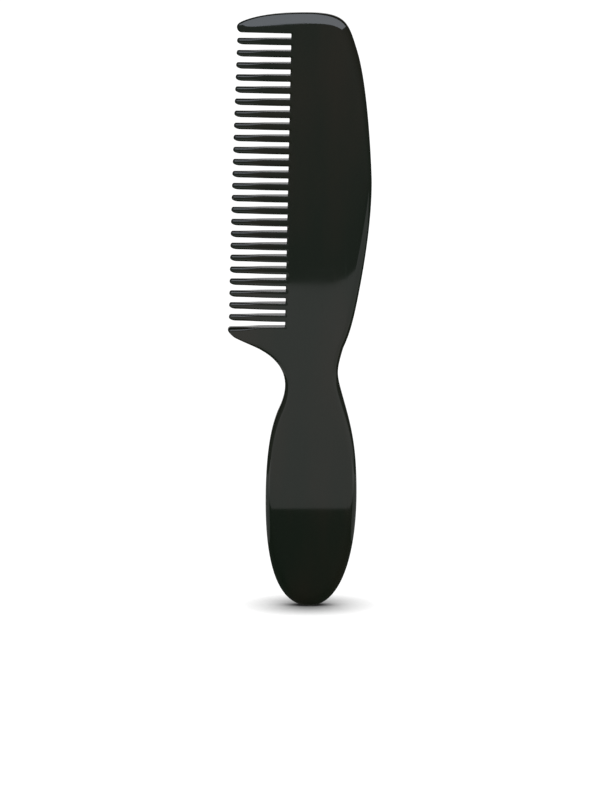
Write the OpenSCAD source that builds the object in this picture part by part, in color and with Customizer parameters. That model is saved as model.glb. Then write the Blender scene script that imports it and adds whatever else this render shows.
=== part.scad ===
// Beard comb with a paddle handle, cut and polished from one sheet of black acetate.
// It stands on the end of its handle: Z runs along its length, Y through its thickness, and
// the teeth point to -X. The origin is under the middle of the comb, at its lowest point.
// The sheet is drawn as its named regions. Each is a closed solid, and neighbours share a face.

/* [Overall] */
// Length from the end of the handle to the top of the blade
comb_length = 180; // [176:1:184]
// Width from the heel's tip to the back of the blade
comb_width = 43.1; // [41:0.1:45]
// Thickness of the sheet
sheet_thickness = 5; // [3.6:0.1:6]
// Radius of the polished edge around the blade, neck and handle
edge_radius = 1.3; // [0.6:0.1:1.5]

/* [Handle and neck] */
// Width of the handle where it is widest
handle_width = 27.6; // [24:0.1:30]
// Height at which the handle is widest
handle_widest = 33.5; // [30:0.5:36]
// Where the handle's upper end meets the neck
handle_top = 60; // [58:1:62]
// Width of the neck where it meets the handle
neck_base_width = 21; // [19:0.1:22]

/* [Teeth] */
// Distance from one tooth to the next
tooth_pitch = 3.6; // [3.5:0.01:3.65]
// Width of a tooth at its root
tooth_root_width = 1.94; // [1.5:0.01:2.1]
// Width of a tooth behind its pointed tip
tooth_tip_width = 1.96; // [1.2:0.01:2.1]
// Thickness of a tooth at its tip
tip_thickness = 1.9; // [1.4:0.1:2.6]
// Length of the first tooth, at the top of the blade
first_tooth_length = 15.9; // [12:0.1:17]
// Length of the last tooth, next to the heel
last_tooth_length = 16.8; // [12:0.1:18]
// Radius of the rounded edges of the teeth
tooth_edge_radius = 0.5; // [0.3:0.05:0.6]
// Radius of the edge at the very tip of a tooth
nose_edge_radius = 0.3; // [0.1:0.05:0.3]

/* [Hidden] */
tooth_count = 24;
function tooth_name(i) = str("tooth_", i < 10 ? "0" : "", i);

acetate = [0.07, 0.07, 0.068];
curve_steps = 9;
edge_steps = 3;
tooth_edge_steps = 2;
tip_steps = 3;

back_x = comb_width / 2;
heel_x = -comb_width / 2;
handle_x = 3.5;
handle_right = handle_x + handle_width / 2;
handle_left = handle_x - handle_width / 2;
neck_base_x = 3.85;
neck_base_right = neck_base_x + neck_base_width / 2;
neck_base_left = neck_base_x - neck_base_width / 2;
blade_base = 79;
end_x = 3;

// The teeth grow from the root line, which leans a little towards them as it goes down.
root_lean = 0.022;
root_top_x = -2.4;
function root_x(z) = root_top_x - root_lean * (comb_length - z);
function on_root(z) = [root_x(z), z];
down_root = [-root_lean, -1] / norm([root_lean, 1]);

first_tooth_z = comb_length - 8.64;
last_tooth_z = first_tooth_z - tooth_pitch * (tooth_count - 1);
gap = tooth_pitch - tooth_root_width;
top_gap = 1.51;
top_guard_z = first_tooth_z + tooth_root_width / 2 + top_gap;
heel_z = last_tooth_z - tooth_root_width / 2 - gap;
tip_rise = 0.13;
nose_lift = 0.1;
nose_edge_growth = 0.2;
tip_bow = 0.95;

// Outline knots: [x, z, heading in degrees, reach before, reach after].
// A smooth curve passes through each knot along its heading.
handle_end_right = [end_x, 0, 0, 0, 10.1];
handle_end_left = [end_x, 0, 180, 0, 11.1];
handle_right_knot = [handle_right, handle_widest + 1.5, 90, 17.7, 10.9];
handle_left_knot = [handle_left, handle_widest - 1.5, 90, 15.2, 18.9];
neck_right_knot = [neck_base_right, handle_top, 105, 8.1, 11.7];
neck_left_knot = [neck_base_left, handle_top, 70, 2.8, 1.9];
blade_right_knot = [13, blade_base, 73.5, 8.3, 2.2];
heel_under_knot = [-11.75, blade_base, 151, 14, 1.8];
crown_drop = 0.08;
crown_knot = [root_x(comb_length - crown_drop), comb_length - crown_drop, 182, 16.2, 4.5];
back_knots = [
    blade_right_knot,
    [17.35, 93.9, 79, 11.5, 4.6],
    [back_x, 129.3, 90, 14.2, 3],
    [17.15, comb_length - 11.4, 107.3, 11.4, 10.1],
    crown_knot
];
top_guard_tip_x = root_x(first_tooth_z) - first_tooth_length - 0.04;
top_guard_knots = [
    crown_knot,
    [top_guard_tip_x + 1.9, comb_length - 2.5, 202, 4.5, 1],
    [top_guard_tip_x, comb_length - 4.3, 270, 0.9, 0.8],
    [top_guard_tip_x + 1.4, top_guard_z + 0.25, 358, 0.75, 0]
];
heel_knots = [
    heel_under_knot,
    [heel_x + 2.65, heel_z - 3.65, 154, 3.8, 0.3],
    [heel_x + 1, heel_z - 2.45, 132, 0.9, 0.4],
    [heel_x, heel_z - 0.85, 90, 0.7, 0.5],
    [heel_x + 1.1, heel_z - 0.03, 0, 0.6, 0]
];

// Curves

function heading(a) = [cos(a), sin(a)];
function unit(v) = v / norm(v);
function left_of(v) = [-v.y, v.x];
function reversed(list) = [for (i = [len(list) - 1 : -1 : 0]) list[i]];

function curve_point(a, b, t) =
    let (start = [a[0], a[1]])
    let (end = [b[0], b[1]])
    let (after_start = start + a[4] * heading(a[2]))
    let (before_end = end - b[3] * heading(b[2]))
    pow(1 - t, 3) * start + 3 * pow(1 - t, 2) * t * after_start
    + 3 * (1 - t) * t * t * before_end + pow(t, 3) * end;

function curve(knots, steps = curve_steps) = [
    for (i = [1 : len(knots) - 1]) for (j = [0 : steps - 1])
        curve_point(knots[i - 1], knots[i], j / steps),
    [knots[len(knots) - 1][0], knots[len(knots) - 1][1]]
];

// Outline corners: [point, inward move for each unit of inset, edge radius]

function bisector(points, i) =
    i == 0 ? unit(points[1] - points[0])
    : i == len(points) - 1 ? unit(points[i] - points[i - 1])
    : unit(unit(points[i + 1] - points[i]) + unit(points[i] - points[i - 1]));

// A rounded edge along the points, with the solid on its left. It starts and ends on cuts
// that it shares with its neighbours, so its ends move inward along those cuts.
function rounded_edge(points, first_cut, last_cut, radii) = [
    for (i = [0 : len(points) - 1])
        let (normal = left_of(bisector(points, i)))
        let (cut = i == 0 ? first_cut : i == len(points) - 1 ? last_cut : normal)
        [points[i], cut / (cut * normal), radii[i]]
];
function even(points, radius) = [for (p = points) radius];
function cut_corner(point) = [point, [0, 0], edge_radius];

// Half of the thickness at a point: full up to a fold line, then a straight taper.
// A fold is [a point on the line, the direction away from it, the taper's length].
no_fold = [[0, 0], [0, 0], 1];
function taper(point, fold) = max(0, (point - fold[0]) * fold[1] / fold[2]);
function half_thickness(point, fold) =
    (sheet_thickness - (sheet_thickness - tip_thickness) * taper(point, fold)) / 2;

away_from_root = unit([-1, root_lean]);
root_fold = [on_root(comb_length), away_from_root, last_tooth_length];
heel_start = on_root(heel_z);
heel_fold_end = [heel_under_knot[0], heel_under_knot[1]];
down_heel_fold = unit(heel_fold_end - heel_start);
away_from_heel_fold = [down_heel_fold.y, -down_heel_fold.x];
heel_reach = ([heel_x, heel_z - 1] - heel_start) * away_from_heel_fold;
heel_fold = [heel_start, away_from_heel_fold, heel_reach];

// The blade meets the neck on a line from the heel's root down to the back of the neck.
down_blade_cut = unit([blade_right_knot[0], blade_base] - heel_start);

// A flat face over corners 0 to n - 1, cut into triangles that all meet at the hub
function fan(n, hub) = [for (i = [1 : n - 2]) [hub, (hub + i) % n, (hub + i + 1) % n]];
// The same face cut into rungs that join its first corners to its last
function rungs(n) = [
    for (i = [0 : ceil(n / 2) - 2])
        let (across = n - 1 - i)
        i + 1 == across - 1 ? [i, i + 1, across] : [i, i + 1, across - 1, across]
];

// The closed solid inside a ring of outline corners, mirrored front to back
module region(corners, flat, fold = no_fold, steps = edge_steps) {
    n = len(corners);
    angles = [for (i = [0 : steps]) 90 * i / steps];
    function level(side, angle) = [
        for (c = corners)
            let (p = c[0] + c[1] * c[2] * (1 - cos(angle)))
            [p.x, side * (half_thickness(p, fold) - c[2] * (1 - sin(angle))), p.y]
    ];
    levels = concat(
        [for (angle = reversed(angles)) level(1, angle)],
        [for (angle = angles) level(-1, angle)]
    );
    last = (len(levels) - 1) * n;
    polyhedron(
        points = [for (l = levels) each l],
        faces = concat(
            flat,
            [for (face = flat) [for (i = reversed(face)) last + i]],
            [for (k = [0 : len(levels) - 2]) for (i = [0 : n - 1])
                [k * n + i, (k + 1) * n + i, (k + 1) * n + (i + 1) % n, k * n + (i + 1) % n]]
        ),
        convexity = 4
    );
}

// Handle: a long paddle with a rounded end
module handle() {
    left_side = reversed(curve([handle_end_left, handle_left_knot, neck_left_knot]));
    right_side = curve([handle_end_right, handle_right_knot, neck_right_knot]);
    points = concat(left_side, [for (i = [1 : len(right_side) - 1]) right_side[i]]);
    corners = rounded_edge(points, [1, 0], [-1, 0], even(points, edge_radius));
    color(acetate) region(corners, rungs(len(corners)));
}

// Neck: the waist between the handle and the blade
module neck() {
    right_side = curve([neck_right_knot, blade_right_knot]);
    left_side = reversed(curve([neck_left_knot, heel_under_knot]));
    corners = concat(
        rounded_edge(right_side, [-1, 0], -down_blade_cut, even(right_side, edge_radius)),
        [cut_corner(heel_start)],
        rounded_edge(left_side, -down_heel_fold, [1, 0], even(left_side, edge_radius))
    );
    color(acetate) region(corners, rungs(len(corners)));
}

// Spine: the solid back of the blade, behind the roots of the teeth
module spine() {
    points = curve(back_knots);
    corners = concat(
        rounded_edge(points, -down_blade_cut, down_root, even(points, edge_radius)),
        [cut_corner(heel_start)]
    );
    color(acetate) region(corners, fan(len(corners), len(corners) - 1));
}

function guard_radius(point, fold) =
    edge_radius + (tooth_edge_radius - edge_radius) * min(1, taper(point, fold));

// Guard tooth at the top: thick, with an arched upper edge
module top_guard_tooth() {
    points = concat(curve(top_guard_knots, 6), [on_root(top_guard_z)]);
    radii = [for (p = points) guard_radius(p, root_fold)];
    corners = rounded_edge(points, down_root, -down_root, radii);
    color(acetate) region(corners, fan(len(corners), len(corners) - 1), root_fold);
}

// Guard tooth at the heel: a hooked fin that sweeps down into the neck. It keeps the sheet's
// full thickness, and only its edge grows finer towards the tip.
module heel_guard_tooth() {
    points = concat([heel_start], reversed(curve(heel_knots, 6)));
    radii = [for (p = points) guard_radius(p, heel_fold)];
    corners = rounded_edge(points, down_heel_fold, -down_heel_fold, radii);
    color(acetate) region(corners, fan(len(corners), 0));
}

// Tooth i, counted from the top: a wedge that thins towards its pointed tip
module tooth(i) {
    share = (i - 1) / (tooth_count - 1);
    root_z = first_tooth_z - tooth_pitch * (i - 1);
    length = first_tooth_length + (last_tooth_length - first_tooth_length) * share
        + tip_bow * share * (1 - share);
    tip_x = root_x(root_z) - length;
    tip_z = root_z + tip_rise;
    tip_knots = [
        [tip_x + 0.65, tip_z + tooth_tip_width / 2, 180, 0, 0.45],
        [tip_x, tip_z + nose_lift, 270, 0.4, 0.6],
        [tip_x + 2.2, tip_z - tooth_tip_width / 2, 0, 1.3, 0]
    ];
    points = concat(
        [on_root(root_z + tooth_root_width / 2)],
        curve(tip_knots, tip_steps),
        [on_root(root_z - tooth_root_width / 2)]
    );
    radii = [for (p = points)
        min(tooth_edge_radius, nose_edge_radius + nose_edge_growth * (p.x - tip_x))];
    corners = rounded_edge(points, down_root, -down_root, radii);
    color(acetate) region(corners, rungs(len(corners)), root_fold, tooth_edge_steps);
}

handle();
neck();
spine();
top_guard_tooth();
heel_guard_tooth();
for (i = [1 : tooth_count]) tooth(i);
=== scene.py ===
"""A black acetate beard comb, standing on the end of its handle.

The comb is one sheet of acetate. Its outline is drawn once, in millimetres, and each point of
it says how the edge is rounded there. The solid made from it is cut into the same named
regions as the CAD nodes. X runs across the comb, Z along it, and its front face looks to -Y.
"""

import math

import bmesh
import bpy
import numpy as np
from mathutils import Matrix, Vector
from mathutils.bvhtree import BVHTree
from mathutils.geometry import delaunay_2d_cdt


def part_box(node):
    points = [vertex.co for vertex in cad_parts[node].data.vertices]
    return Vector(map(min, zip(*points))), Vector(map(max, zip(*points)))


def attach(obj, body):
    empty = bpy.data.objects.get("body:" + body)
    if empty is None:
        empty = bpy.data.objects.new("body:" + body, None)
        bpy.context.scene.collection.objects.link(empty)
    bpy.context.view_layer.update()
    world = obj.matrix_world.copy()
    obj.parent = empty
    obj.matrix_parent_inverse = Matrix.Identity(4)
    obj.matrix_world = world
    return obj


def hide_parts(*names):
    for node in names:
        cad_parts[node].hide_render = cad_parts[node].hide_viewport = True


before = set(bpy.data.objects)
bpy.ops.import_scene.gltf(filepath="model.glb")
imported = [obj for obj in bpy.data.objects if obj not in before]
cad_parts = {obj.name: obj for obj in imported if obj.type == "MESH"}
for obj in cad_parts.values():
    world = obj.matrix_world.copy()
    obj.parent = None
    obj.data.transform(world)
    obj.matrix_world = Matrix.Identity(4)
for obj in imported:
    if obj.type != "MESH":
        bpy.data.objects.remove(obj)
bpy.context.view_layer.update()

MM = 0.001

# Sizes from the frame, in millimetres
SPINE_LOW, SPINE_HIGH = (np.array(corner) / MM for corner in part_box("spine"))
BACK_X, _, LENGTH = SPINE_HIGH
THICKNESS = SPINE_HIGH[1] - SPINE_LOW[1]
HEEL_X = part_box("heel_guard_tooth")[0].x / MM
TOOTH_NAMES = sorted(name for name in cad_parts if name.startswith("tooth_"))

# The root line of the teeth leans a little towards them as it goes down.
ROOT_LEAN = 0.022
ROOT_TOP_X = -2.4
# A tooth: its widths, its tip's rise above its root, and the reach and lift of its round nose
ROOT_WIDTH = 1.94
TIP_WIDTH = 1.96
TIP_RISE = 0.13
NOSE_TOP = 0.65
NOSE_UNDER = 2.2
NOSE_LIFT = 0.1
PITCH = 3.6
GAP = PITCH - ROOT_WIDTH
TOP_GAP = 1.51
TIP_THICKNESS = 1.9
TAPER_LENGTH = 16.8
TAPER_EASE = 0.2
CROWN_DROP = 0.08
SLOT_DEPTH = 0.12
SLOT_CORNER = 0.2
# The handle is widest a little higher on its right side than on its left.
END_X = 3.0
HANDLE_X, HANDLE_WIDTH = 3.5, 27.6
WIDEST_RIGHT, WIDEST_LEFT = 35.0, 32.0
HANDLE_TOP = 60.0
NECK_X, NECK_WIDTH = 3.85, 21.0
BLADE_BASE = 79.0
BLADE_BACK = (13.0, BLADE_BASE)
HEEL_UNDER = (-11.75, BLADE_BASE)


def root_x(z):
    return ROOT_TOP_X - ROOT_LEAN * (LENGTH - z)


def root_point(z):
    """Where the wall of a saw cut reaches the rounded corner at its end."""
    return root_x(z) + SLOT_DEPTH - SLOT_CORNER, z


def tooth_place(name):
    """The height of a tooth's root and the X of its tip, from its CAD node."""
    low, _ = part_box(name)
    return low.z / MM + ROOT_WIDTH / 2, low.x / MM


TEETH = [tooth_place(name) for name in TOOTH_NAMES]
FIRST_ROOT, FIRST_TIP = TEETH[0]
TOP_GUARD_Z = FIRST_ROOT + ROOT_WIDTH / 2 + TOP_GAP
TOP_GUARD_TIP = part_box("top_guard_tooth")[0].x / MM
HEEL_Z = TEETH[-1][0] - ROOT_WIDTH / 2 - GAP
HEEL_START = np.array([root_x(HEEL_Z), HEEL_Z])

# How an edge is finished: [width and depth of the round, its power (2 is an ellipse, less is
# nearer a bevel), width and depth of the soft crown, share of the wall that shows the saw]
HANDLE_EDGE = np.array([1.9, 1.4, 2.0, 2.2, 0.03, 0])
BLADE_EDGE = np.array([2.3, 1.3, 1.6, 6.0, 0.25, 0])
HEEL_UNDER_EDGE = np.array([1.0, 1.2, 2.0, 1.5, 0.03, 0])
CORNER_EDGE = np.array([2.6, 1.8, 1.6, 4.0, 0.12, 0])
TOP_EDGE = np.array([3.8, 1.24, 1.03, 0.14, 0.02, 0])
GUARD_TOP_EDGE = np.array([1.6, 0.75, 1.25, 0.14, 0.03, 0])
GUARD_TIP_EDGE = np.array([0.4, 0.6, 2.0, 0.15, 0.05, 0])
GUARD_UNDER_EDGE = np.array([0.4, 0.4, 2.0, 0.3, 0.03, 1])
ROOT_EDGE = np.array([0.12, 0.12, 2.0, 0.6, 0.03, 1])
TIP_EDGE = np.array([0.8, 0.72, 2.0, 0.08, 0.02, 0])
NOSE_EDGE = np.array([0.3, 0.5, 2.0, 0.06, 0.02, 0])
SLOT_EDGE = np.array([0.3, 0.3, 2.0, 0.7, 0.12, 1])
HEEL_TOP_EDGE = np.array([0.95, 2.0, 2.0, 0.7, 0.05, 0])
HEEL_TIP_EDGE = np.array([0.55, 1.8, 2.0, 0.08, 0.03, 0])
# The stretch of a tooth, from its root, over which the saw's corners are rounded away
SHAPED = (0.38, 0.85)
# The most of the half thickness that a round may take
DEEPEST_ROUND = 0.94
ROUND_STEPS = 7
CROWN_STEPS = 3
CURVE_STEPS = 22
ARCH_STEPS = 14
GUARD_STEPS = 9
TIP_STEPS = 7
# Spacing of the points across the flat faces, and how far they keep from the outline
GRID = 2.4
GRID_MARGIN = 0.35 * GRID


# ---- Outline -------------------------------------------------------------------------------


def heading(degrees):
    return np.array([math.cos(math.radians(degrees)), math.sin(math.radians(degrees))])


def smooth(t):
    return t * t * (3 - 2 * t)


def curve(knots, steps=CURVE_STEPS, ease=smooth):
    """A smooth line through knots, each (x, z, heading, reach before, reach after, edge)."""
    line = []
    for a, b in zip(knots, knots[1:]):
        start, end = np.array(a[:2]), np.array(b[:2])
        after, before = start + a[4] * heading(a[2]), end - b[3] * heading(b[2])
        for t in np.arange(steps) / steps:
            point = (1 - t) ** 3 * start + 3 * (1 - t) ** 2 * t * after
            point = point + 3 * (1 - t) * t * t * before + t**3 * end
            line.append((point, a[5] + (b[5] - a[5]) * ease(t)))
    line.append((np.array(knots[-1][:2]), knots[-1][5]))
    return line


def straight(start, end, first_edge, last_edge, shares, change=(0, 1)):
    """A straight line, whose edge changes between two shares of its length."""
    start, end = np.array(start), np.array(end)
    mix = [smooth(min(1, max(0, (s - change[0]) / (change[1] - change[0])))) for s in shares]
    return [
        (start + (end - start) * s, first_edge + (last_edge - first_edge) * m)
        for s, m in zip(shares, mix)
    ]


def arc(centre, radius, angles, first_edge, last_edge):
    shares = np.linspace(0, 1, len(angles))
    centre = np.array(centre)
    return [
        (centre + radius * heading(a), first_edge + (last_edge - first_edge) * s)
        for a, s in zip(angles, shares)
    ]


def slot(upper, lower, above, below):
    """The end of a saw cut: down from the edge above it to the edge below it."""
    x_up, x_low = root_point(upper)[0], root_point(lower)[0]
    middle = (SLOT_DEPTH + root_x((upper + lower) / 2), (upper + lower) / 2)
    top = arc((x_up, upper - SLOT_CORNER), SLOT_CORNER, (90, 60, 30, 0), above, SLOT_EDGE)
    bottom = arc((x_low, lower + SLOT_CORNER), SLOT_CORNER, (0, -30, -60, -90), SLOT_EDGE, below)
    return top + [(np.array(middle), SLOT_EDGE)] + bottom


def tooth(root_z, tip_x):
    """Out along the top of a tooth, round its tip and back along its underside."""
    tip_z = root_z + TIP_RISE
    top_tip = (tip_x + NOSE_TOP, tip_z + TIP_WIDTH / 2)
    low_tip = (tip_x + NOSE_UNDER, tip_z - TIP_WIDTH / 2)
    top_root = root_point(root_z + ROOT_WIDTH / 2)
    low_root = root_point(root_z - ROOT_WIDTH / 2)
    shares = np.array([0.04, 0.12, 0.22, 0.32, 0.42, 0.5, 0.58, 0.66, 0.74, 0.82, 0.91])
    top = straight(top_root, top_tip, ROOT_EDGE, TIP_EDGE, shares, SHAPED)
    tip = curve(
        [
            (*top_tip, 180, 0, 0.45, TIP_EDGE),
            (tip_x, tip_z + NOSE_LIFT, 270, 0.4, 0.6, NOSE_EDGE),
            (*low_tip, 0, 1.3, 0, TIP_EDGE),
        ],
        TIP_STEPS,
    )
    change = (1 - SHAPED[1], 1 - SHAPED[0])
    under = straight(low_tip, low_root, TIP_EDGE, ROOT_EDGE, 1 - shares[::-1], change)
    return top + tip + under


def outline():
    """The whole outline of the comb, with the solid on its left."""
    handle_right, handle_left = HANDLE_X + HANDLE_WIDTH / 2, HANDLE_X - HANDLE_WIDTH / 2
    neck_right, neck_left = NECK_X + NECK_WIDTH / 2, NECK_X - NECK_WIDTH / 2
    crown = (root_x(LENGTH - CROWN_DROP), LENGTH - CROWN_DROP, 182, 16.2, 4.5, TOP_EDGE)
    right = curve(
        [
            (END_X, 0, 0, 0, 10.1, HANDLE_EDGE),
            (handle_right, WIDEST_RIGHT, 90, 17.7, 10.9, HANDLE_EDGE),
            (neck_right, HANDLE_TOP, 105, 8.1, 11.7, HANDLE_EDGE),
            (*BLADE_BACK, 73.5, 8.3, 2.2, HANDLE_EDGE),
            (17.35, 93.9, 79, 11.5, 4.6, BLADE_EDGE),
            (BACK_X, 129.3, 90, 14.2, 3, BLADE_EDGE),
            (17.15, LENGTH - 11.4, 107.3, 11.4, 10.1, CORNER_EDGE),
            crown,
        ]
    )
    arch_end = (TOP_GUARD_TIP + 1.9, LENGTH - 2.5, 202, 4.5, 1, GUARD_TOP_EDGE)
    # The bevel stays wide along the arch and narrows close to its end.
    arch = curve([crown, arch_end], ARCH_STEPS, lambda t: t**4)
    guard = curve(
        [
            arch_end,
            (TOP_GUARD_TIP, LENGTH - 4.3, 270, 0.9, 0.8, GUARD_TIP_EDGE),
            (TOP_GUARD_TIP + 1.4, TOP_GUARD_Z + 0.25, 358, 0.75, 0, GUARD_UNDER_EDGE),
        ],
        GUARD_STEPS,
        math.sqrt,
    )
    points = right[:-1] + arch[:-1] + guard
    shares = np.linspace(0, 1, GUARD_STEPS)[1:-1]
    root = root_point(TOP_GUARD_Z)
    points += straight(guard[-1][0], root, GUARD_UNDER_EDGE, GUARD_UNDER_EDGE, shares)
    upper, above = TOP_GUARD_Z, GUARD_UNDER_EDGE
    for root_z, tip_x in TEETH:
        points += slot(upper, root_z + ROOT_WIDTH / 2, above, ROOT_EDGE)
        points += tooth(root_z, tip_x)
        upper, above = root_z - ROOT_WIDTH / 2, ROOT_EDGE
    points += slot(upper, HEEL_Z, above, ROOT_EDGE)
    heel_top = (HEEL_X + 1.1, HEEL_Z - 0.03)
    heel_end = (HEEL_X + 2.65, HEEL_Z - 3.65, 334, 0.3, 3.8, HEEL_TIP_EDGE)
    points += straight(root_point(HEEL_Z), heel_top, ROOT_EDGE, HEEL_TOP_EDGE, shares, SHAPED)
    points += curve(
        [
            (*heel_top, 180, 0, 0.6, HEEL_TOP_EDGE),
            (HEEL_X, HEEL_Z - 0.85, 270, 0.5, 0.7, HEEL_TIP_EDGE),
            (HEEL_X + 1, HEEL_Z - 2.45, 312, 0.4, 0.9, HEEL_TIP_EDGE),
            heel_end,
        ],
        TIP_STEPS,
    )[:-1]
    points += curve(
        [
            heel_end,
            (*HEEL_UNDER, 331, 1.8, 14, HEEL_UNDER_EDGE),
            (neck_left, HANDLE_TOP, 250, 1.9, 2.8, HANDLE_EDGE),
            (handle_left, WIDEST_LEFT, 270, 18.9, 15.2, HANDLE_EDGE),
            (END_X, 0, 0, 11.1, 0, HANDLE_EDGE),
        ]
    )[:-1]
    places = np.array([p for p, _ in points])
    edges = np.array([e for _, e in points])
    return places, edges


# ---- The solid sheet -----------------------------------------------------------------------


def unit(v):
    return v / np.linalg.norm(v, axis=-1, keepdims=True)


def tapered(distance, length):
    """The share of a taper that is reached at a distance, with a soft start."""
    t = np.clip(distance / length, 0, 1)
    eased = np.where(t < TAPER_EASE, t * t / (2 * TAPER_EASE), t - TAPER_EASE / 2)
    return eased / (1 - TAPER_EASE / 2)


def half_thickness(places):
    """Half of the sheet's thickness: full in the blade, heel and handle, thinner out to the tips."""
    away = unit(np.array([-1, ROOT_LEAN]))
    share = tapered((places - np.array([ROOT_TOP_X, LENGTH])) @ away, TAPER_LENGTH)
    share = np.where(places[:, 1] < HEEL_Z + GAP / 2, 0, share)
    return (THICKNESS - (THICKNESS - TIP_THICKNESS) * share) / 2


def rings(places, edges):
    """Rings of points from the outer wall to the flat: [(places, half thickness there)]."""
    before, after = np.roll(places, 1, 0), np.roll(places, -1, 0)
    along = unit(unit(places - before) + unit(after - places))
    inward = np.stack([-along[:, 1], along[:, 0]], 1)
    width, depth, power, crown_width, crown_depth, _ = edges.T
    depth = np.minimum(depth, DEEPEST_ROUND * half_thickness(places) - crown_depth)
    reach = width + crown_width
    result = []
    for k in range(ROUND_STEPS + CROWN_STEPS + 1):
        if k <= ROUND_STEPS:
            inset = width * (1 - math.cos(math.radians(90 * k / ROUND_STEPS)))
        else:
            inset = width + crown_width * (k - ROUND_STEPS) / CROWN_STEPS
        level = np.clip(1 - inset / width, 0, 1)
        drop = depth * (1 - np.sqrt(1 - level**power)) + crown_depth * (1 - inset / reach) ** 2
        moved = places + inward * inset[:, None]
        result.append((moved, half_thickness(moved) - drop))
    return result


def inside(points, loop, margin):
    """Which points lie inside a closed loop, at least margin away from it."""
    a, b = loop, np.roll(loop, -1, 0)
    px, pz = points[:, 0, None], points[:, 1, None]
    crosses = (a[:, 1] > pz) != (b[:, 1] > pz)
    rise = np.where(a[:, 1] == b[:, 1], 1, b[:, 1] - a[:, 1])
    odd = (crosses & (px < a[:, 0] + (pz - a[:, 1]) * (b[:, 0] - a[:, 0]) / rise)).sum(1) % 2 == 1
    edge = b - a
    t = ((px - a[:, 0]) * edge[:, 0] + (pz - a[:, 1]) * edge[:, 1]) / (edge**2).sum(1)
    t = np.clip(t, 0, 1)
    gap = np.hypot(px - a[:, 0] - t * edge[:, 0], pz - a[:, 1] - t * edge[:, 1]).min(1)
    return odd & (gap > margin)


def sheet():
    """Points and triangles of the whole comb, in millimetres, and where it is worn and sawn."""
    places, edges = outline()
    levels = rings(places, edges)
    n = len(places)
    flat = levels[-1][0]
    grid = np.array(
        [
            (x, z)
            for z in np.arange(1, LENGTH, GRID)
            for x in np.arange(HEEL_X, BACK_X, GRID)
        ]
    )
    grid = grid[inside(grid, flat, GRID_MARGIN)]
    ring_edges = [(i, (i + 1) % n) for i in range(n)]
    found = delaunay_2d_cdt(
        [Vector(p) for p in np.vstack([flat, grid])], ring_edges, [], 1, 1e-7
    )
    source = [ids[0] for ids in found[3]]
    caps = [[source[i] for i in face] for face in found[2]]

    outer = np.vstack([p for p, _ in levels] + [grid])
    half = np.concatenate([h for _, h in levels] + [half_thickness(grid)])
    inner = np.zeros(len(outer) - n)
    worn = np.concatenate([np.ones(n), inner])
    sawn = np.concatenate([edges[:, 5], inner])
    total = len(outer)
    points = np.vstack(
        [
            np.stack([outer[:, 0], -half, outer[:, 1]], 1),
            np.stack([outer[:, 0], half, outer[:, 1]], 1),
        ]
    )
    i = np.arange(n)
    j = (i + 1) % n
    triangles = []
    for k in range(len(levels) - 1):
        a, b, c, d = k * n + i, k * n + j, (k + 1) * n + j, (k + 1) * n + i
        triangles += [np.stack([a, b, c], 1), np.stack([a, c, d], 1)]
    last = (len(levels) - 1) * n
    triangles.append(np.array([[last + v for v in face] for face in caps]))
    front = np.vstack(triangles)
    back = front[:, ::-1] + total
    wall = np.vstack([np.stack([total + i, total + j, j], 1), np.stack([total + i, j, i], 1)])
    finish = np.stack([np.tile(worn, 2), np.tile(sawn, 2)], 1)
    return points, np.vstack([front, back, wall]), finish


def surface_normals(points, triangles):
    corners = points[triangles]
    faces = np.cross(corners[:, 1] - corners[:, 0], corners[:, 2] - corners[:, 0])
    normals = np.zeros_like(points)
    for k in range(3):
        np.add.at(normals, triangles[:, k], faces)
    return unit(normals)


# ---- Pieces --------------------------------------------------------------------------------


def solid(points, triangles, finish):
    bm = bmesh.new()
    worn_layer = bm.verts.layers.float.new("worn")
    sawn_layer = bm.verts.layers.float.new("sawn")
    bm.faces.layers.int.new("cut")
    vertices = [bm.verts.new(p) for p in points]
    for v, (worn, sawn) in zip(vertices, finish):
        v[worn_layer] = worn
        v[sawn_layer] = sawn
    for a, b, c in triangles:
        bm.faces.new((vertices[a], vertices[b], vertices[c]))
    return bm


def keep(bm, point, toward):
    """Cuts away the part behind an upright plane, in millimetres, and closes the cut."""
    cut_layer = bm.faces.layers.int["cut"]
    everything = bm.verts[:] + bm.edges[:] + bm.faces[:]
    place = Vector((point[0], 0, point[1]))
    direction = Vector((toward[0], 0, toward[1])).normalized()
    bmesh.ops.bisect_plane(
        bm, geom=everything, dist=1e-6, plane_co=place, plane_no=direction, clear_inner=True
    )
    open_edges = [e for e in bm.edges if e.is_boundary]
    for face in bmesh.ops.holes_fill(bm, edges=open_edges, sides=0)["faces"]:
        face[cut_layer] = 1
    return bm


def islands(bm):
    """The connected solids in a mesh, each as a list of faces."""
    left = set(bm.faces)
    found = []
    while left:
        queue = [left.pop()]
        island = list(queue)
        while queue:
            for edge in queue.pop().edges:
                for face in edge.link_faces:
                    if face in left:
                        left.remove(face)
                        queue.append(face)
                        island.append(face)
        found.append(island)
    return found


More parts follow.
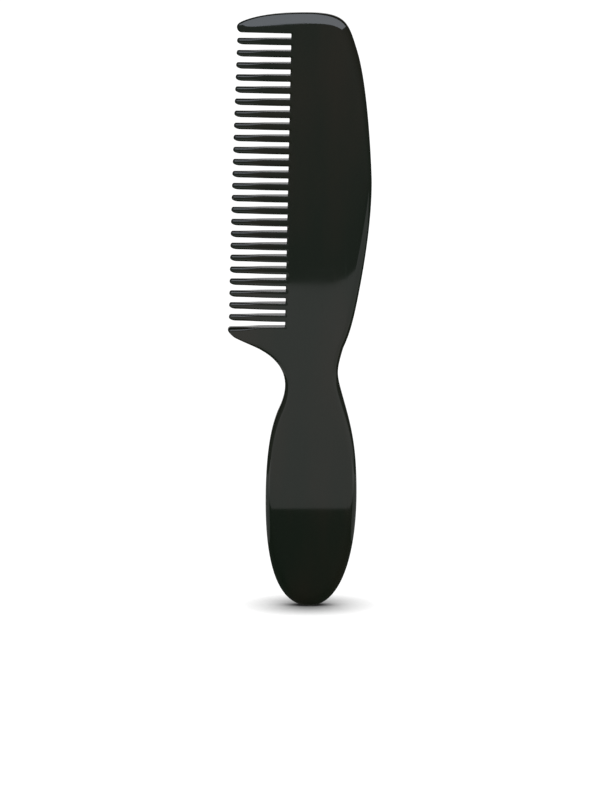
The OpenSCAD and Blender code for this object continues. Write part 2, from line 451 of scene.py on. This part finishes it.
def piece(name, bm, skin, skin_triangles, skin_points, skin_normals, material):
    """A piece from a cut solid, shaded as a part of the whole sheet."""
    cut_layer = bm.faces.layers.int["cut"]
    bmesh.ops.triangulate(bm, faces=[f for f in bm.faces if len(f.verts) > 4])
    bm.normal_update()
    normals = []
    for face in bm.faces:
        face.smooth = True
        for corner in face.verts:
            if face[cut_layer]:
                normals.append(face.normal.copy())
                continue
            where, _, index, _ = skin.find_nearest(corner.co)
            a, b, c = skin_triangles[index]
            weights = barycentric(np.array(where), skin_points[a], skin_points[b], skin_points[c])
            blend = weights @ skin_normals[[a, b, c]]
            normals.append(Vector(blend).normalized())
    mesh = bpy.data.meshes.new(name)
    bm.to_mesh(mesh)
    mesh.normals_split_custom_set(normals)
    mesh.transform(((MM, 0, 0, 0), (0, MM, 0, 0), (0, 0, MM, 0), (0, 0, 0, 1)))
    mesh.materials.append(material)
    made = bpy.data.objects.new(name + "_skin", mesh)
    bpy.context.scene.collection.objects.link(made)
    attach(made, "root")
    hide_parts(name)


def barycentric(p, a, b, c):
    u, v, w = b - a, c - a, p - a
    uu, uv, vv, wu, wv = u @ u, u @ v, v @ v, w @ u, w @ v
    area = max(uu * vv - uv * uv, 1e-12)
    s, t = (vv * wu - uv * wv) / area, (uu * wv - uv * wu) / area
    return np.clip(np.array([1 - s - t, s, t]), 0, 1)


def make_comb(material):
    points, triangles, finish = sheet()
    normals = surface_normals(points, triangles)
    skin = BVHTree.FromPolygons([Vector(p) for p in points], triangles.tolist())
    whole = solid(points, triangles, finish)

    down_root = HEEL_START - np.array([ROOT_TOP_X, LENGTH])
    down_blade = np.array(BLADE_BACK) - HEEL_START
    down_heel = np.array(HEEL_UNDER) - HEEL_START
    above_blade_cut = np.array([-down_blade[1], down_blade[0]])
    left_of_root = np.array([down_root[1], -down_root[0]])
    outside_heel_cut = np.array([down_heel[1], -down_heel[0]])
    top = (0, HANDLE_TOP)
    parts = {
        "handle": keep(whole.copy(), top, (0, -1)),
        "neck": keep(
            keep(keep(whole.copy(), top, (0, 1)), HEEL_START, -outside_heel_cut),
            HEEL_START,
            -above_blade_cut,
        ),
        "spine": keep(keep(whole.copy(), HEEL_START, -left_of_root), HEEL_START, above_blade_cut),
    }
    teeth = keep(keep(whole.copy(), HEEL_START, left_of_root), HEEL_START, outside_heel_cut)
    found = islands(teeth)
    found.sort(key=lambda faces: -max(v.co.z for f in faces for v in f.verts))
    names = ["top_guard_tooth", *TOOTH_NAMES, "heel_guard_tooth"]
    if len(found) != len(names):
        raise SystemExit(f"the teeth came out as {len(found)} solids, not {len(names)}")
    for name, faces in zip(names, found):
        single = teeth.copy()
        keep_ids = {f.index for f in faces}
        single.faces.ensure_lookup_table()
        extra = [f for f in single.faces if f.index not in keep_ids]
        bmesh.ops.delete(single, geom=extra, context="FACES")
        parts[name] = single
    for name, bm in parts.items():
        piece(name, bm, skin, triangles, points, normals, material)


# ---- Material ------------------------------------------------------------------------------


def acetate():
    """Polished black acetate: faint green and brown clouds, soft waves, hairlines and saw marks."""
    material = bpy.data.materials.new("acetate")
    material.use_nodes = True
    nodes, links = material.node_tree.nodes, material.node_tree.links
    shader = nodes["Principled BSDF"]
    shader.inputs["IOR"].default_value = 1.49
    place = nodes.new("ShaderNodeTexCoord").outputs["Object"]

    def noise(scale, stretch, detail, turn=0.0):
        mapping = nodes.new("ShaderNodeMapping")
        mapping.inputs["Scale"].default_value = stretch
        mapping.inputs["Rotation"].default_value = (0, turn, 0)
        texture = nodes.new("ShaderNodeTexNoise")
        texture.inputs["Scale"].default_value = scale
        texture.inputs["Detail"].default_value = detail
        links.new(place, mapping.inputs["Vector"])
        links.new(mapping.outputs["Vector"], texture.inputs["Vector"])
        return texture.outputs["Fac"]

    def span(value, low, high, to_low, to_high):
        ramp = nodes.new("ShaderNodeMapRange")
        ramp.inputs["From Min"].default_value = low
        ramp.inputs["From Max"].default_value = high
        ramp.inputs["To Min"].default_value = to_low
        ramp.inputs["To Max"].default_value = to_high
        links.new(value, ramp.inputs["Value"])
        return ramp.outputs["Result"]

    def combine(operation, a, b):
        node = nodes.new("ShaderNodeMath")
        node.operation = operation
        links.new(a, node.inputs[0])
        links.new(b, node.inputs[1])
        return node.outputs[0]

    def attribute(name):
        node = nodes.new("ShaderNodeAttribute")
        node.attribute_name = name
        return node.outputs["Fac"]

    colour = nodes.new("ShaderNodeMix")
    colour.data_type = "RGBA"
    colour.inputs["A"].default_value = (0.0060, 0.0108, 0.0060, 1)
    colour.inputs["B"].default_value = (0.0150, 0.0134, 0.0082, 1)
    links.new(span(noise(60, (1, 1, 0.25), 3), 0.45, 0.7, 0, 1), colour.inputs["Factor"])
    links.new(colour.outputs["Result"], shader.inputs["Base Color"])

    cloud = span(noise(90, (1, 1, 1), 4), 0.3, 0.7, 0.04, 0.06)
    along = span(noise(2600, (1, 1, 0.02), 2), 0.68, 0.74, 0, 0.06)
    across = span(noise(2200, (0.03, 1, 1), 2, 0.5), 0.7, 0.76, 0, 0.05)
    worn = span(attribute("worn"), 0, 1, 0, 0.03)
    sawn = span(attribute("sawn"), 0.2, 0.8, 0, 0.2)
    polish = combine("ADD", combine("ADD", cloud, along), combine("ADD", across, worn))
    links.new(combine("ADD", polish, sawn), shader.inputs["Roughness"])

    waves = nodes.new("ShaderNodeBump")
    waves.inputs["Strength"].default_value = 1
    waves.inputs["Distance"].default_value = 0.00002
    links.new(noise(55, (1, 1, 0.6), 1), waves.inputs["Height"])
    marks = nodes.new("ShaderNodeBump")
    marks.inputs["Strength"].default_value = 1
    marks.inputs["Distance"].default_value = 0.00001
    saw_marks = combine("MULTIPLY", noise(2400, (1, 0.08, 0.3), 1), attribute("sawn"))
    links.new(saw_marks, marks.inputs["Height"])
    links.new(waves.outputs["Normal"], marks.inputs["Normal"])
    links.new(marks.outputs["Normal"], shader.inputs["Normal"])
    return material


# ---- Floor, light and camera ---------------------------------------------------------------


def floor():
    """White paper that glows evenly, with a painted contact shadow: it is darker only where the comb
    nearly touches it.
    """
    mesh = bpy.data.meshes.new("floor")
    reach = 3.0
    # Reach and strength of the painted contact shadow, and the even glow of the paper
    painted_shadow_reach, painted_shadow_power, brightness = 0.014, 2.7, 1.1
    mesh.from_pydata(
        [(-reach, -reach, 0), (reach, -reach, 0), (reach, reach, 0), (-reach, reach, 0)],
        [],
        [(0, 1, 2, 3)],
    )
    ground = bpy.data.objects.new("floor", mesh)
    bpy.context.scene.collection.objects.link(ground)
    material = bpy.data.materials.new("floor_paper")
    material.use_nodes = True
    nodes, links = material.node_tree.nodes, material.node_tree.links
    paper = nodes.new("ShaderNodeEmission")
    # Painted contact shadow: ambient occlusion near the comb darkens the paper's glow
    painted_contact_shadow = nodes.new("ShaderNodeAmbientOcclusion")
    painted_contact_shadow.samples = 16
    painted_contact_shadow.inputs["Distance"].default_value = painted_shadow_reach
    depth = nodes.new("ShaderNodeMath")
    depth.operation = "POWER"
    depth.inputs[1].default_value = painted_shadow_power
    level = nodes.new("ShaderNodeMath")
    level.operation = "MULTIPLY"
    level.inputs[1].default_value = brightness
    links.new(painted_contact_shadow.outputs["AO"], depth.inputs[0])
    links.new(depth.outputs[0], level.inputs[0])
    links.new(level.outputs[0], paper.inputs["Strength"])
    links.new(paper.outputs["Emission"], nodes["Material Output"].inputs["Surface"])
    mesh.materials.append(material)
    ground.visible_glossy = False


def studio():
    """A white room that glossy surfaces see as a dim one, but for the white behind the comb."""
    # Glow in reflections: from the sides, from the front at eye level, its change with height and
    # its most, and from the backdrop, which starts at these shares of straight behind
    side_glow = 0.04
    level_glow, glow_rise, most_glow = 0.44, 1.75, 0.3
    backdrop_start, backdrop_full, backdrop_least, backdrop_most = 0.88, 0.94, 0.06, 1.0
    fill_light, seen_white = 0.45, 1.15
    world = bpy.data.worlds.new("studio")
    bpy.context.scene.world = world
    world.use_nodes = True
    nodes, links = world.node_tree.nodes, world.node_tree.links
    white = nodes["Background"]
    white.inputs["Color"].default_value = (1, 1, 1, 1)
    dim = nodes.new("ShaderNodeBackground")
    mix = nodes.new("ShaderNodeMixShader")
    path = nodes.new("ShaderNodeLightPath")
    direction = nodes.new("ShaderNodeSeparateXYZ")
    links.new(nodes.new("ShaderNodeTexCoord").outputs["Generated"], direction.inputs[0])

    def math_node(operation, a, b):
        node = nodes.new("ShaderNodeMath")
        node.operation = operation
        for socket, value in zip(node.inputs, (a, b)):
            if isinstance(value, float):
                socket.default_value = value
            else:
                links.new(value, socket)
        return node.outputs[0]

    sides = math_node("POWER", math_node("ABSOLUTE", direction.outputs["X"], 0.0), 2.0)
    front = math_node("MAXIMUM", math_node("MULTIPLY", direction.outputs["Y"], -1.0), 0.0)
    height = math_node("MULTIPLY", direction.outputs["Z"], glow_rise)
    rising = math_node("MAXIMUM", math_node("ADD", height, level_glow), 0.0)
    fall = math_node("MINIMUM", rising, most_glow)
    glow = math_node("MULTIPLY", sides, side_glow)
    glow = math_node("ADD", glow, math_node("MULTIPLY", front, fall))
    backdrop = nodes.new("ShaderNodeMapRange")
    links.new(direction.outputs["Y"], backdrop.inputs["Value"])
    levels = (backdrop_start, backdrop_full, backdrop_least, backdrop_most)
    for socket, value in zip(backdrop.inputs[1:5], levels):
        socket.default_value = value
    glow = math_node("ADD", glow, backdrop.outputs["Result"])
    links.new(glow, dim.inputs["Strength"])
    links.new(path.outputs["Is Glossy Ray"], mix.inputs["Fac"])
    seen = math_node("MULTIPLY", path.outputs["Is Camera Ray"], seen_white - fill_light)
    fill = math_node("ADD", seen, fill_light)
    links.new(fill, white.inputs["Strength"])
    links.new(white.outputs["Background"], mix.inputs[1])
    links.new(dim.outputs["Background"], mix.inputs[2])
    links.new(mix.outputs["Shader"], nodes["World Output"].inputs["Surface"])


def panel(name, radiance, width, depth, centre, facing, tint=(1, 1, 1)):
    """A soft rectangular light, in metres, that only reflections see, shining along facing."""
    data = bpy.data.lights.new(name, "AREA")
    data.shape = "RECTANGLE"
    data.size = width
    data.size_y = depth
    data.energy = radiance * math.pi * width * depth
    data.color = tint
    light = bpy.data.objects.new(name, data)
    light.location = centre
    light.rotation_euler = Vector(facing).to_track_quat("-Z", "Y").to_euler()
    light.visible_camera = False
    light.visible_diffuse = False
    bpy.context.scene.collection.objects.link(light)


def lights():
    # The softbox hangs in front of the comb, between two distances (Y).
    near, far = -0.3, -1.52
    centre = (0.125, (near + far) / 2, 0.6)
    cool_white = (0.83, 0.885, 0.985)
    panel("overhead_softbox", 3.2, 1.25, near - far, centre, (0, 0, -1), cool_white)
    # The front card slopes up from the edge near the comb to the far one, each (Y, Z).
    card_near, card_far = np.array([-0.077, 0.0143]), np.array([-0.252, 0.061])
    slope = card_far - card_near
    card_centre = (0.14, *((card_near + card_far) / 2))
    card_length = float(np.linalg.norm(slope))
    panel("front_card", 0.56, 0.52, card_length, card_centre, (0, slope[1], -slope[0]))
    side, side_height, side_width, side_depth = 0.08, 0.0125, 0.2, 0.035
    panel("left_card", 0.56, side_width, side_depth, (-side, 0, side_height), (1, 0, 0))
    panel("right_card", 0.48, side_width, side_depth, (side, 0, side_height), (-1, 0, 0))


def camera():
    data = bpy.data.cameras.new("camera")
    data.lens = 164.2
    data.sensor_width = 36
    data.clip_start = 0.05
    data.clip_end = 20
    pitch = math.radians(10.5)
    distance = 1.1
    aim_x, aim_z = 0.00015, 0.0634
    view = bpy.data.objects.new("camera", data)
    view.location = (aim_x, -distance * math.cos(pitch), aim_z + distance * math.sin(pitch))
    view.rotation_euler = (math.pi / 2 - pitch, 0, 0)
    bpy.context.scene.collection.objects.link(view)
    bpy.context.scene.camera = view
    bpy.context.scene.view_settings.view_transform = "Standard"


make_comb(acetate())
floor()
studio()
lights()
camera()
